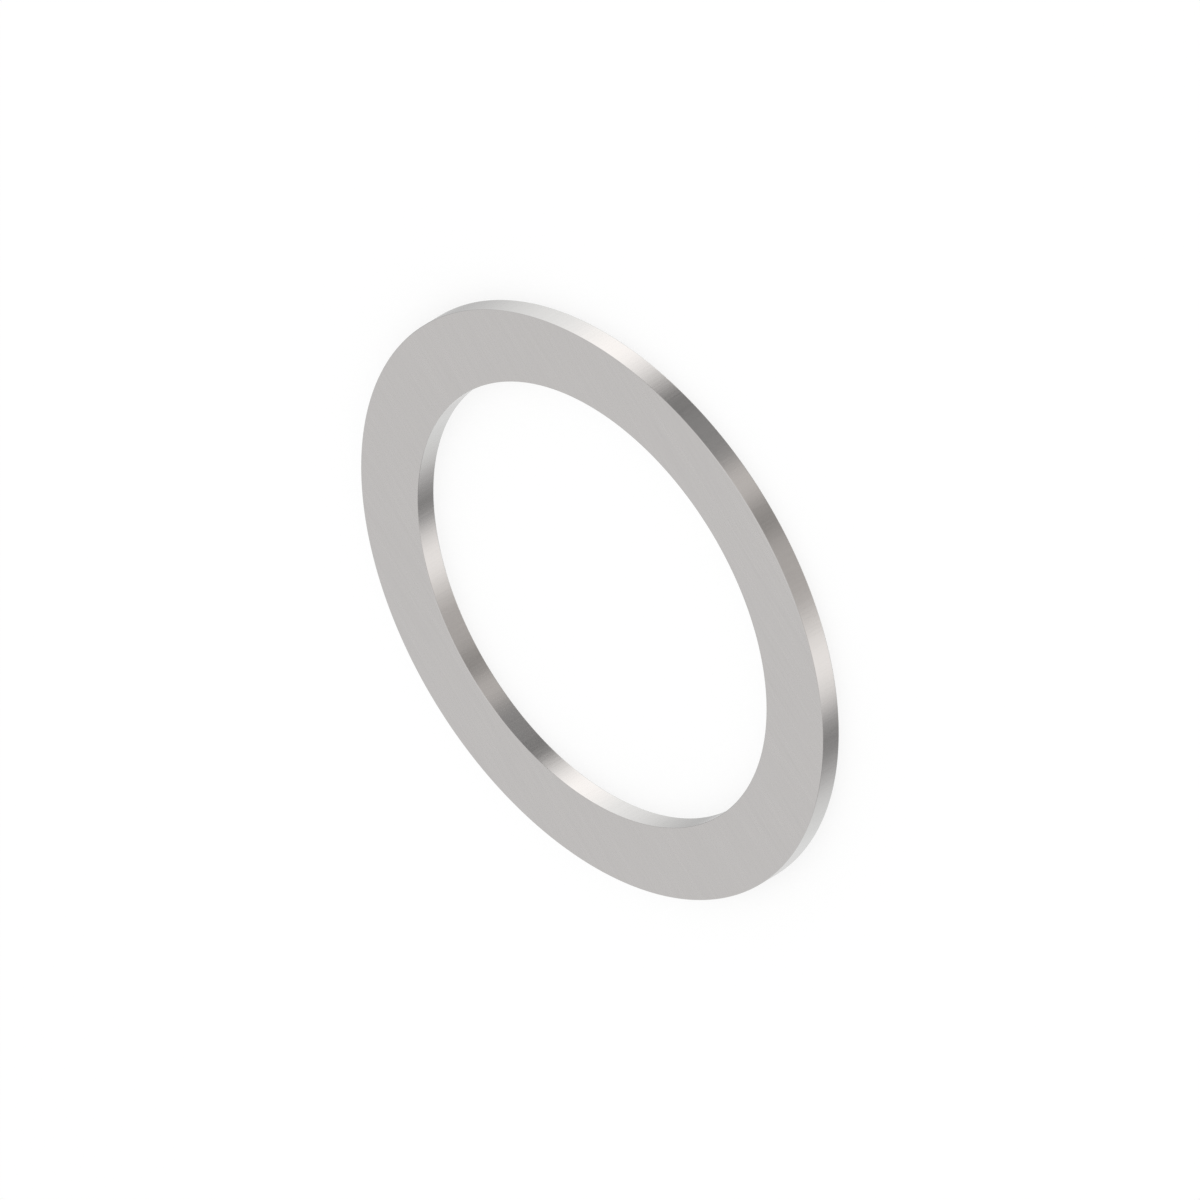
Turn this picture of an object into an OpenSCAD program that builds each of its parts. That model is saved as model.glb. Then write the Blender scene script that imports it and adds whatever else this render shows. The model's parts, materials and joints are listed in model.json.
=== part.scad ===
// Flat shim washer: one thin ring blanked from sheet steel and tumbled to take the burr off its edges.
// It lies on its lower face, with the bore's axis on +Z and the origin at the centre of that face.
// Millimetres.

/* [Ring] */
// Outside diameter, across the rim
outer_d = 25.4; // [22:0.1:60]
// Diameter of the bore that the shaft passes through
bore_d = 19.18; // [4:0.02:20]
// Thickness of the sheet, from the lower face to the upper face
thickness = 0.914; // [0.3:0.002:4]

/* [Edges] */
// Radius that tumbling leaves along the four edges
edge_r = 0.04; // [0.02:0.01:0.12]

/* [Hidden] */
// Facets of the preview: the ring's round and each edge's round
ring_fn = 180;
edge_fn = 32;
steel = [0.74, 0.735, 0.73];

bore_r = bore_d / 2;
wall_w = (outer_d - bore_d) / 2;

// Rectangle from the origin, with a quarter circle of radius r on each corner
module rounded_rectangle(size, r) {
    translate([r, 0]) square([size.x - 2 * r, size.y]);
    translate([0, r]) square([size.x, size.y - 2 * r]);
    for (x = [r, size.x - r], y = [r, size.y - r])
        translate([x, y]) circle(r, $fn = edge_fn);
}

// Section of the ring's wall, from the bore out to the rim
module wall_section() {
    translate([bore_r, 0]) rounded_rectangle([wall_w, thickness], edge_r);
}

// The washer: its section turned once about the bore's axis
module washer() {
    color(steel) rotate_extrude($fn = ring_fn) wall_section();
}

washer();
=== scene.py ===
"""Looks of a flat shim washer: one thin ring of bright steel that lies on a white floor in a light tent.

Lengths are metres and angles are degrees, unless a name says otherwise.
"""

import json
import logging
import math
from dataclasses import dataclass
from enum import Enum
from itertools import accumulate

import bmesh
import bpy
from mathutils import Matrix, Vector


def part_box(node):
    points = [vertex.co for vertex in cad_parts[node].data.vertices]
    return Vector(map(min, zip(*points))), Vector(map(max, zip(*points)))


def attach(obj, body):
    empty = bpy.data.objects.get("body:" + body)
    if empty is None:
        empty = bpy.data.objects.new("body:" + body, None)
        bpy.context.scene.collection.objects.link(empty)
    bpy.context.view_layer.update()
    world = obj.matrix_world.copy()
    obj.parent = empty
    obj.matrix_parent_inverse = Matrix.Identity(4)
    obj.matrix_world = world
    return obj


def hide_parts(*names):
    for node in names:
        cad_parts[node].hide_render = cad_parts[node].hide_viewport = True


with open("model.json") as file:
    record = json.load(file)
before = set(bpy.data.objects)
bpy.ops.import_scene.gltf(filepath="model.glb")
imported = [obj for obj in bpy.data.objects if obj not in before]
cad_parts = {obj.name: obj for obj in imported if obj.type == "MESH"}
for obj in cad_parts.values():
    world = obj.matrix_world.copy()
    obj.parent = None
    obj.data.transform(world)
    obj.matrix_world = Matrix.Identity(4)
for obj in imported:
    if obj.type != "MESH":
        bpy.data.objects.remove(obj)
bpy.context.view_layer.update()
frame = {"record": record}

MM_PER_METRE = 1000.0
UM_PER_METRE = 1000000.0
QUARTER_TURN = 90.0
HALF_TURN = 180.0
PIECE_NAME = "washer_ring"
NODE_NAME = "washer"
BODY_NAME = "root"
BAKE_MAP = "OFBake"

# The heights where the tent's wall starts and ends
TENT_FOOT = -2.0
TENT_HEAD = 0.06

# An area lamp of this many watts to the square metre looks as bright as white
WATTS_OF_WHITE = 4.0

# The types that the nodes of a shader take
Node = bpy.types.Node
Socket = bpy.types.NodeSocket
Colour = tuple[float, float, float, float]
SocketValue = Socket | Vector | Colour | float

log = logging.getLogger("washer")


class Zone(Enum):
    """The surfaces of the ring that have a finish of their own, by material index."""

    FACE = 0
    WALL = 1
    EDGE = 2


class Light(Enum):
    """The colours of light in the tent, as shares of red, green and blue."""

    PLAIN = (1.0, 1.0, 1.0)
    COOL = (0.98, 1.0, 1.0)
    WARM = (1.0, 0.985, 0.97)
    AMBER = (1.0, 0.97, 0.94)

    def at(self, level: float) -> Colour:
        """The light's colour at a brightness, where 1 is white."""
        return (*(level * share for share in self.value), 1.0)


class Graph:
    """Adds the nodes of one shader tree and joins them."""

    def __init__(self, owner: bpy.types.Material | bpy.types.World) -> None:
        """Empties the owner's tree.

        Args:
            owner: The material or world whose surface is to be built.
        """
        owner.use_nodes = True
        self.tree = owner.node_tree
        self.tree.nodes.clear()

    def node(self, kind: str, settings: dict[str, str] | None = None, **inputs: SocketValue) -> Node:
        """Adds a node.

        Args:
            kind: Blender's name of the node, without the leading ShaderNode.
            settings: The node's own properties.
            **inputs: Sockets by name, with _ for a space, each set to a value or joined to an output.

        Returns:
            The new node.
        """
        made = self.tree.nodes.new("ShaderNode" + kind)
        for name, value in (settings or {}).items():
            setattr(made, name, value)
        for name, value in inputs.items():
            self.feed(made.inputs[name.replace("_", " ")], value)
        return made

    def feed(self, socket: Socket, value: SocketValue) -> None:
        """Joins an output to a socket, or sets the socket to a plain value.

        Args:
            socket: The input to fill.
            value: An output socket, a number, a vector or a colour.
        """
        if isinstance(value, Socket):
            self.tree.links.new(value, socket)
        else:
            socket.default_value = value

    def output_of(self, made: Node, *values: SocketValue) -> Socket:
        """Fills the sockets that a node shows, in order, and takes its output.

        Args:
            made: The node.
            *values: What goes into its sockets, each a plain value or an output.

        Returns:
            The first output that the node shows.
        """
        shown = [socket for socket in made.inputs if socket.enabled]
        for socket, value in zip(shown, values):
            self.feed(socket, value)
        return next(socket for socket in made.outputs if socket.enabled)

    def math(self, operation: str, *terms: Socket | float) -> Socket:
        """Adds a Math node.

        Args:
            operation: Blender's name of the sum.
            *terms: Its terms, each a number or an output.

        Returns:
            The result.
        """
        return self.output_of(self.node("Math", {"operation": operation}), *terms)

    def ramp(self, value: Socket, span: tuple[float, float], result: tuple[float, float]) -> Socket:
        """Carries a value from one span to another, held at its ends.

        Args:
            value: The number to carry over.
            span: Where it starts and ends.
            result: What those two become.

        Returns:
            The carried value.
        """
        return self.output_of(self.node("MapRange"), value, *span, *result)

    def blend(self, under: Socket | Colour, over: Socket | Colour, cover: Socket) -> Socket:
        """Mixes two colours.

        Args:
            under: The colour where nothing covers it.
            over: The colour where it is covered.
            cover: How much is covered, from 0 to 1.

        Returns:
            The mixed colour.
        """
        return self.output_of(self.node("Mix", {"data_type": "RGBA"}), cover, under, over)

    def layer(self, under: Node, over: Node, cover: Socket) -> Node:
        """Mixes two shaders.

        Args:
            under: The shader where nothing covers it.
            over: The shader where it is covered.
            cover: How much is covered, from 0 to 1.

        Returns:
            The mixing node.
        """
        made = self.node("MixShader")
        self.output_of(made, cover, under.outputs[0], over.outputs[0])
        return made

    def mean(self, values: list[Socket], weights: list[float]) -> Socket:
        """Takes a weighted mean.

        Args:
            values: The outputs to take it of.
            weights: How much each counts.

        Returns:
            The mean.
        """
        total: Socket | float = 0.0
        for value, weight in zip(values, weights):
            total = self.math("MULTIPLY_ADD", value, weight / sum(weights), total)
        return total


@dataclass(frozen=True)
class Mark:
    """One kind of mark that working leaves in the steel: a fine noise, drawn out along the way of the work.

    It repeats about per_mm times in a millimetre along X, Y and Z. It lightens and darkens the steel by the
    share tone, raises and lowers its roughness by swing, and is depth_um deep. It has detail layers of finer
    noise, each of them detail_share as strong as the one before.
    """

    per_mm: tuple[float, float, float]
    tone: float
    swing: float
    depth_um: float
    detail: float = 3.0
    detail_share: float = 0.55

    def noise(self, graph: Graph, place: Socket) -> Socket:
        """Adds the mark's noise.

        Args:
            graph: The tree to add it to.
            place: The coordinates that it follows.

        Returns:
            The noise, from 0 to 1 about a half.
        """
        scale = Vector(self.per_mm) * MM_PER_METRE
        drawn = graph.output_of(graph.node("VectorMath", {"operation": "MULTIPLY"}), place, scale)
        made = graph.node(
            "TexNoise", Vector=drawn, Scale=1.0, Detail=self.detail, Roughness=self.detail_share
        )
        return made.outputs["Fac"]


@dataclass(frozen=True)
class SteelFinish:
    """Bare steel, as one way of working leaves it."""

    name: str
    tint: tuple[float, float, float]
    roughness: float
    marks: tuple[Mark, ...]

    def material(self) -> bpy.types.Material:
        """Builds the finish as a shader.

        Returns:
            The new material.
        """
        made = bpy.data.materials.new(self.name)
        graph = Graph(made)
        place = graph.node("TexCoord").outputs["Object"]
        noises = [mark.noise(graph, place) for mark in self.marks]
        tones = [mark.tone for mark in self.marks]
        swings = [mark.swing for mark in self.marks]
        depths = [mark.depth_um / UM_PER_METRE for mark in self.marks]
        dark, pale = self.shade(1.0 - sum(tones)), self.shade(1.0 + sum(tones))
        smooth, rough = self.roughness - sum(swings), self.roughness + sum(swings)
        bump = graph.node("Bump", Distance=sum(depths), Height=graph.mean(noises, depths))
        steel = graph.node(
            "BsdfPrincipled",
            Base_Color=graph.blend(dark, pale, graph.mean(noises, tones)),
            Metallic=1.0,
            Roughness=graph.ramp(graph.mean(noises, swings), (0.0, 1.0), (smooth, rough)),
            Normal=bump.outputs["Normal"],
        )
        graph.node("OutputMaterial", Surface=steel.outputs["BSDF"])
        return made

    def shade(self, share: float) -> Colour:
        """The tint, lighter or darker by a share."""
        return (*(channel * share for channel in self.tint), 1.0)


@dataclass(frozen=True)
class SectionPoint:
    """One point of the ring's section, with its place and outward normal as (radius, height).

    The zone is that of the surface from this point to the next.
    """

    place: Vector
    normal: Vector
    zone: Zone


@dataclass
class Washer:
    """The ring, as one closed mesh turned from the section of its wall.

    Its map for baking has map_rows rows, and map_gap is the share of a row that stays free at either edge.
    """

    outer_radius: float
    bore_radius: float
    thickness: float
    edge_radius: float
    turn_steps: int = 360
    edge_steps: int = 8
    face_steps: int = 6
    wall_steps: int = 3
    map_rows: int = 3
    map_gap: float = 0.01

    @classmethod
    def from_frame(cls) -> "Washer":
        """Takes the ring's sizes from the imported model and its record.

        Returns:
            A washer of those sizes.
        """
        low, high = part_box(NODE_NAME)
        mounts = {mount["name"]: mount for mount in frame["record"]["mounts"]}
        bore = mounts["bore"]["dims"]
        thickness = high.z - low.z
        return cls(
            outer_radius=(high.x - low.x) / 2,
            bore_radius=bore["r_mm"] / MM_PER_METRE,
            thickness=thickness,
            edge_radius=(thickness - bore["length_mm"] / MM_PER_METRE) / 2,
        )

    def section(self) -> list[SectionPoint]:
        """Goes once round the section, from the foot of the rim up, over to the bore and back.

        Returns:
            The section's points, in order.
        """
        near = self.bore_radius + self.edge_radius
        far = self.outer_radius - self.edge_radius
        foot = self.edge_radius
        head = self.thickness - self.edge_radius
        corners = [
            (Vector((far, foot)), -QUARTER_TURN, Zone.WALL, self.wall_steps),
            (Vector((far, head)), 0.0, Zone.FACE, self.face_steps),
            (Vector((near, head)), QUARTER_TURN, Zone.WALL, self.wall_steps),
            (Vector((near, foot)), HALF_TURN, Zone.FACE, self.face_steps),
        ]
        points = []
        for index, (centre, start, after, steps) in enumerate(corners):
            for step in range(self.edge_steps + 1):
                angle = math.radians(start + QUARTER_TURN * step / self.edge_steps)
                normal = Vector((math.cos(angle), math.sin(angle)))
                zone = after if step == self.edge_steps else Zone.EDGE
                points.append(SectionPoint(centre + normal * self.edge_radius, normal, zone))
            last = points[-1]
            end = corners[(index + 1) % len(corners)][0] + last.normal * self.edge_radius
            for step in range(1, steps):
                points.append(SectionPoint(last.place.lerp(end, step / steps), last.normal, after))
        return points

    def build(self) -> bpy.types.Object:
        """Turns the section into a ring with true normals and a map for baking.

        Returns:
            The ring's object, in the scene and without finishes.
        """
        section = self.section()
        sheet = bmesh.new()
        normals = []
        rings = []
        for turn in range(self.turn_steps):
            spin = Matrix.Rotation(math.tau * turn / self.turn_steps, 3, "Z")
            rings.append([sheet.verts.new(spin @ Vector((at.place.x, 0.0, at.place.y))) for at in section])
            normals.extend(spin @ Vector((at.normal.x, 0.0, at.normal.y)) for at in section)
        for turn, ring in enumerate(rings):
            after = rings[(turn + 1) % self.turn_steps]
            for index, at in enumerate(section):
                up = (index + 1) % len(section)
                face = sheet.faces.new((ring[index], after[index], after[up], ring[up]))
                face.material_index = at.zone.value
                face.smooth = True
        self.lay_out(sheet, section)
        mesh = bpy.data.meshes.new(PIECE_NAME)
        sheet.to_mesh(mesh)
        sheet.free()
        mesh.normals_split_custom_set_from_vertices(normals)
        made = bpy.data.objects.new(PIECE_NAME, mesh)
        bpy.context.scene.collection.objects.link(made)
        return made

    def lay_out(self, sheet: bmesh.types.BMesh, section: list[SectionPoint]) -> None:
        """Maps the ring for baking: it is cut into equal arcs, and each arc fills a row of the map.

        Args:
            sheet: The ring's mesh, with its faces in order round the section and then round the ring.
            section: The points that it was turned from.
        """
        ends = section[1:] + section[:1]
        reach = [0.0, *accumulate((end.place - at.place).length for at, end in zip(section, ends))]
        row_steps = self.turn_steps // self.map_rows
        layout = sheet.loops.layers.uv.new(BAKE_MAP)
        for number, face in enumerate(sheet.faces):
            turn, index = divmod(number, len(section))
            row, column = divmod(turn, row_steps)
            corners = ((column, index), (column + 1, index), (column + 1, index + 1), (column, index + 1))
            for loop, (across, along) in zip(face.loops, corners):
                share = self.map_gap + (1.0 - 2.0 * self.map_gap) * reach[along] / reach[-1]
                loop[layout].uv = (across / row_steps, (row + share) / self.map_rows)

    def dress(self, piece: bpy.types.Object, finishes: dict[Zone, SteelFinish]) -> None:
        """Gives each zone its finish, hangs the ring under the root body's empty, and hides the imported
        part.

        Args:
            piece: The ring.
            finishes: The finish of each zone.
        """
        for zone in Zone:
            piece.data.materials.append(finishes[zone].material())
        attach(piece, BODY_NAME)
        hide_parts(NODE_NAME)


def stand(sheet: bmesh.types.BMesh, name: str, material: bpy.types.Material) -> bpy.types.Object:
    """Puts a piece of the stage into the scene.

    Args:
        sheet: Its mesh, which is used up.
        name: Its name.
        material: Its material.

    Returns:
        The new object.
    """
    mesh = bpy.data.meshes.new(name)
    sheet.to_mesh(mesh)
    sheet.free()
    mesh.materials.append(material)
    made = bpy.data.objects.new(name, mesh)
    bpy.context.scene.collection.objects.link(made)
    return made


@dataclass(frozen=True)
class Panel:
    """One upright soft box or flag of the tent.

    Azimuth 0 is behind the camera, and 90 is to its right. The panel is full over its half width to either
    side, and its two fades then take it over into what is behind it. It fades out in the same way below its
    foot and above its head.
    """

    azimuth: float
    half_width: float
    fades: tuple[float, float]
    level: float
    light: Light = Light.PLAIN
    foot: float = TENT_FOOT
    foot_fade: float = 0.02
    head: float = TENT_HEAD
    head_fade: float = 0.08

    def cover(self, graph: Graph, azimuth: Socket, height: Socket) -> Socket:
        """Works out how much the panel covers of what is behind it.

        Args:
            graph: The tree to add it to.
            azimuth: The azimuth of the spot on the tent's wall.
            height: The height of that spot.

        Returns:
            The cover, from 0 to 1.
        """
        aside = graph.math("WRAP", graph.math("SUBTRACT", azimuth, self.azimuth), HALF_TURN, -HALF_TURN)
        left = graph.ramp(aside, (-self.half_width - self.fades[0], -self.half_width), (0.0, 1.0))
        right = graph.ramp(aside, (self.half_width, self.half_width + self.fades[1]), (1.0, 0.0))
        above = graph.ramp(height, (self.foot - self.foot_fade, self.foot), (0.0, 1.0))
        below = graph.ramp(height, (self.head, self.head + self.head_fade), (1.0, 0.0))
        across = graph.math("MULTIPLY", left, right)
        upright = graph.math("MULTIPLY", above, below)
        return graph.math("MULTIPLY", across, upright)


@dataclass
class Tent:
    """The white light tent round the washer, with a round wall of soft boxes and flags that the metal shows.

    The wall reaches down past the floor, because the ring's upright sides mirror what is below it.
    """

    panels: tuple[Panel, ...]
    white_level: float = 1.0
    wall_radius: float = 0.24
    wall_foot: float = TENT_FOOT
    wall_head: float = TENT_HEAD
    head_fade: float = 0.08
    wall_sides: int = 96

    def build(self) -> bpy.types.Object:
        """Makes the tent's white as the scene's world, and stands the wall in it.

        Returns:
            The wall's object.
        """
        world = bpy.data.worlds.new("light_tent")
        graph = Graph(world)
        shell = graph.node("Background", Color=Light.PLAIN.at(self.white_level))
        graph.node("OutputWorld", Surface=shell.outputs["Background"])
        bpy.context.scene.world = world
        sheet = bmesh.new()
        bmesh.ops.create_cone(
            sheet,
            segments=self.wall_sides,
            radius1=self.wall_radius,
            radius2=self.wall_radius,
            depth=self.wall_head - self.wall_foot,
            matrix=Matrix.Translation((0.0, 0.0, (self.wall_head + self.wall_foot) / 2)),
        )
        return stand(sheet, "tent_wall", self.material())

    def material(self) -> bpy.types.Material:
        """Builds the wall's light, which glossy rays meet and all others pass.

        Returns:
            The new material.
        """
        made = bpy.data.materials.new("tent_panels")
        # Only the metal's reflections show the wall, so it isn't sampled as a lamp
        made.cycles.emission_sampling = "NONE"
        graph = Graph(made)
        spot = graph.node("SeparateXYZ", Vector=graph.node("TexCoord").outputs["Object"])
        across, along, height = spot.outputs
        towards_camera = graph.math("MULTIPLY", along, -1.0)
        azimuth = graph.math("DEGREES", graph.math("ARCTAN2", across, towards_camera))
        colour: Socket | Colour = Light.PLAIN.at(self.white_level)
        for panel in self.panels:
            colour = graph.blend(colour, panel.light.at(panel.level), panel.cover(graph, azimuth, height))
        below = graph.ramp(height, (self.wall_head - self.head_fade, self.wall_head), (1.0, 0.0))
        met = graph.math("MULTIPLY", below, graph.node("LightPath").outputs["Is Glossy Ray"])
        wall = graph.layer(graph.node("BsdfTransparent"), graph.node("Emission", Color=colour), met)
        graph.node("OutputMaterial", Surface=wall.outputs[0])
        return made


@dataclass
class OverheadBox:
    """The soft box that hangs over the washer and draws a sheen across its upper face."""

    width: float = 0.016
    length: float = 0.08
    height: float = 0.08
    turn: float = 35.0
    level: float = 0.35

    def build(self) -> bpy.types.Object:
        """Hangs the soft box, face down.

        Returns:
            The lamp's object.
        """
        lamp = bpy.data.lights.new("overhead_box", "AREA")
        lamp.shape = "RECTANGLE"
        lamp.size = self.width
        lamp.size_y = self.length
        lamp.energy = WATTS_OF_WHITE * self.level * self.width * self.length
        made = bpy.data.objects.new("overhead_box", lamp)
        made.location = (0.0, 0.0, self.height)
        made.rotation_euler = (0.0, 0.0, math.radians(self.turn))
        bpy.context.scene.collection.objects.link(made)
        return made


@dataclass
class Floor:
    """The white floor that the washer lies on. It takes the shadow, and the metal shows the tent past it."""

    side: float = 0.6
    white_level: float = 1.0
    glow_share: float = 0.75

    def build(self) -> bpy.types.Object:
        """Lays the floor at the height of the washer's foot.

        Returns:
            The floor's object.
        """
        sheet = bmesh.new()
        bmesh.ops.create_grid(sheet, size=self.side / 2)
        return stand(sheet, "floor", self.material())

    def material(self) -> bpy.types.Material:
        """Builds the floor's white: a share of it glows to the camera, and the tent lights the rest.

        Returns:
            The new material.
        """
        made = bpy.data.materials.new("floor_white")
        graph = Graph(made)
        path = graph.node("LightPath").outputs
        white = Light.PLAIN.at(self.white_level)
        glow = graph.math("MULTIPLY", path["Is Camera Ray"], self.glow_share)
        matt = graph.node("BsdfDiffuse", Color=white)
        lit = graph.layer(matt, graph.node("Emission", Color=white), glow)
        mirrored = graph.math("MAXIMUM", path["Is Glossy Ray"], path["Is Transmission Ray"])
        floor = graph.layer(lit, graph.node("BsdfTransparent"), mirrored)
        graph.node("OutputMaterial", Surface=floor.outputs[0])
        return made


@dataclass
class PhotoCamera:
    """The camera at the photograph's viewing angle, which shows no perspective.

    It looks down on the lying ring along +Y. The picture is turned so that the ring leans as it does there.
    """

    elevation: float = 34.5
    turn: float = -121.0
    picture_px: float = 1200.0
    ring_radius_px: float = 326.3
    face_right_px: float = -8.3
    face_down_px: float = 5.0
    distance: float = 0.3

    def build(self, washer: Washer) -> bpy.types.Object:
        """Sets the camera so that the ring has its place and size in the picture.

        Args:
            washer: The ring to frame.

        Returns:
            The camera's object.
        """
        metres_per_px = washer.outer_radius / self.ring_radius_px
        lens = bpy.data.cameras.new("photo_camera")
        lens.type = "ORTHO"
        lens.ortho_scale = self.picture_px * metres_per_px
        made = bpy.data.objects.new("photo_camera", lens)
        bpy.context.scene.collection.objects.link(made)
        tilt = Matrix.Rotation(math.radians(QUARTER_TURN - self.elevation), 4, "X")
        turned = tilt @ Matrix.Rotation(math.radians(self.turn), 4, "Z")
        right, up, back = turned.to_3x3().col
        aim = Vector((0.0, 0.0, washer.thickness))
        aim -= right * self.face_right_px * metres_per_px
        aim += up * self.face_down_px * metres_per_px
        made.matrix_world = Matrix.Translation(aim + back * self.distance) @ turned
        bpy.context.scene.camera = made
        return made


# The steel and the marks of its making
STEEL_TINT = (0.51, 0.495, 0.487)

ROLLED_LINES = Mark(per_mm=(0.5, 12.0, 0.5), tone=0.05, swing=0.03, depth_um=4.0)
ROLLED_BANDS = Mark(per_mm=(0.12, 2.5, 0.12), tone=0.02, swing=0.03, depth_um=4.0)
SHEARED_LINES = Mark(per_mm=(9.0, 9.0, 0.6), tone=0.05, swing=0.03, depth_um=0.7)
TUMBLED_GRAIN = Mark(per_mm=(16.0, 16.0, 16.0), tone=0.03, swing=0.02, depth_um=0.5)

FINISHES = {
    Zone.FACE: SteelFinish("steel_rolled", STEEL_TINT, 0.26, (ROLLED_LINES, ROLLED_BANDS, TUMBLED_GRAIN)),
    Zone.WALL: SteelFinish("steel_sheared", STEEL_TINT, 0.2, (SHEARED_LINES, TUMBLED_GRAIN)),
    Zone.EDGE: SteelFinish("steel_tumbled", STEEL_TINT, 0.22, (TUMBLED_GRAIN,)),
}

# The bright panels end here, so that the ends of the ring don't wash out in views from low down
BRIGHT_HEAD = -0.12

# The tent's panels, with a level of 1 for white
REAR_FLAG = Panel(azimuth=146.0, half_width=10.0, fades=(36.0, 26.0), level=0.52)
REAR_SHADE = Panel(azimuth=-166.0, half_width=8.0, fades=(12.0, 14.0), level=0.92)
LEFT_BANK = Panel(azimuth=-136.0, half_width=8.0, fades=(16.0, 24.0), level=1.1, light=Light.COOL)
LEFT_FLAG = Panel(azimuth=-91.0, half_width=2.0, fades=(24.0, 18.0), level=0.34)
LEFT_STRIP = Panel(
    azimuth=-60.0, half_width=5.0, fades=(16.0, 20.0), level=1.56, light=Light.WARM, head=BRIGHT_HEAD
)
FRONT_WALL = Panel(azimuth=-5.0, half_width=50.0, fades=(20.0, 20.0), level=0.74, light=Light.AMBER)
FRONT_FLAG = Panel(azimuth=-5.0, half_width=4.0, fades=(6.0, 5.0), level=0.45, light=Light.AMBER)
FRONT_STRIP = Panel(
    azimuth=10.0, half_width=4.0, fades=(7.0, 9.0), level=1.12, light=Light.AMBER, foot=-0.15
)
RIGHT_FLAG = Panel(azimuth=35.0, half_width=13.0, fades=(9.0, 8.0), level=0.42)
RIGHT_FLAG_EDGE = Panel(azimuth=46.0, half_width=2.0, fades=(6.0, 6.0), level=0.28)
RIGHT_BANK = Panel(
    azimuth=90.0, half_width=5.0, fades=(30.0, 72.0), level=1.54, light=Light.COOL, head=BRIGHT_HEAD
)
RIGHT_STRIP = Panel(
    azimuth=76.0, half_width=3.0, fades=(17.0, 20.0), level=1.95, light=Light.WARM, head=BRIGHT_HEAD
)

# Each of them hangs in front of those before it
PANELS = (
    REAR_FLAG,
    REAR_SHADE,
    LEFT_BANK,
    LEFT_FLAG,
    FRONT_WALL,
    LEFT_STRIP,
    FRONT_FLAG,
    FRONT_STRIP,
    RIGHT_FLAG,
    RIGHT_FLAG_EDGE,
    RIGHT_BANK,
    RIGHT_STRIP,
)


def main() -> None:
    """Builds the washer and the stage that shows it."""
    logging.basicConfig(level=logging.INFO, format="%(name)s: %(message)s")
    bpy.context.scene.view_settings.view_transform = "Standard"
    washer = Washer.from_frame()
    ring = washer.build()
    washer.dress(ring, FINISHES)
    log.info("%s: %d faces in %d finishes", ring.name, len(ring.data.polygons), len(ring.data.materials))
    stage = (Tent(PANELS).build(), OverheadBox().build(), Floor().build(), PhotoCamera().build(washer))
    for thing in stage:
        log.info("%s: on the stage", thing.name)


if __name__ == "__main__":
    main()
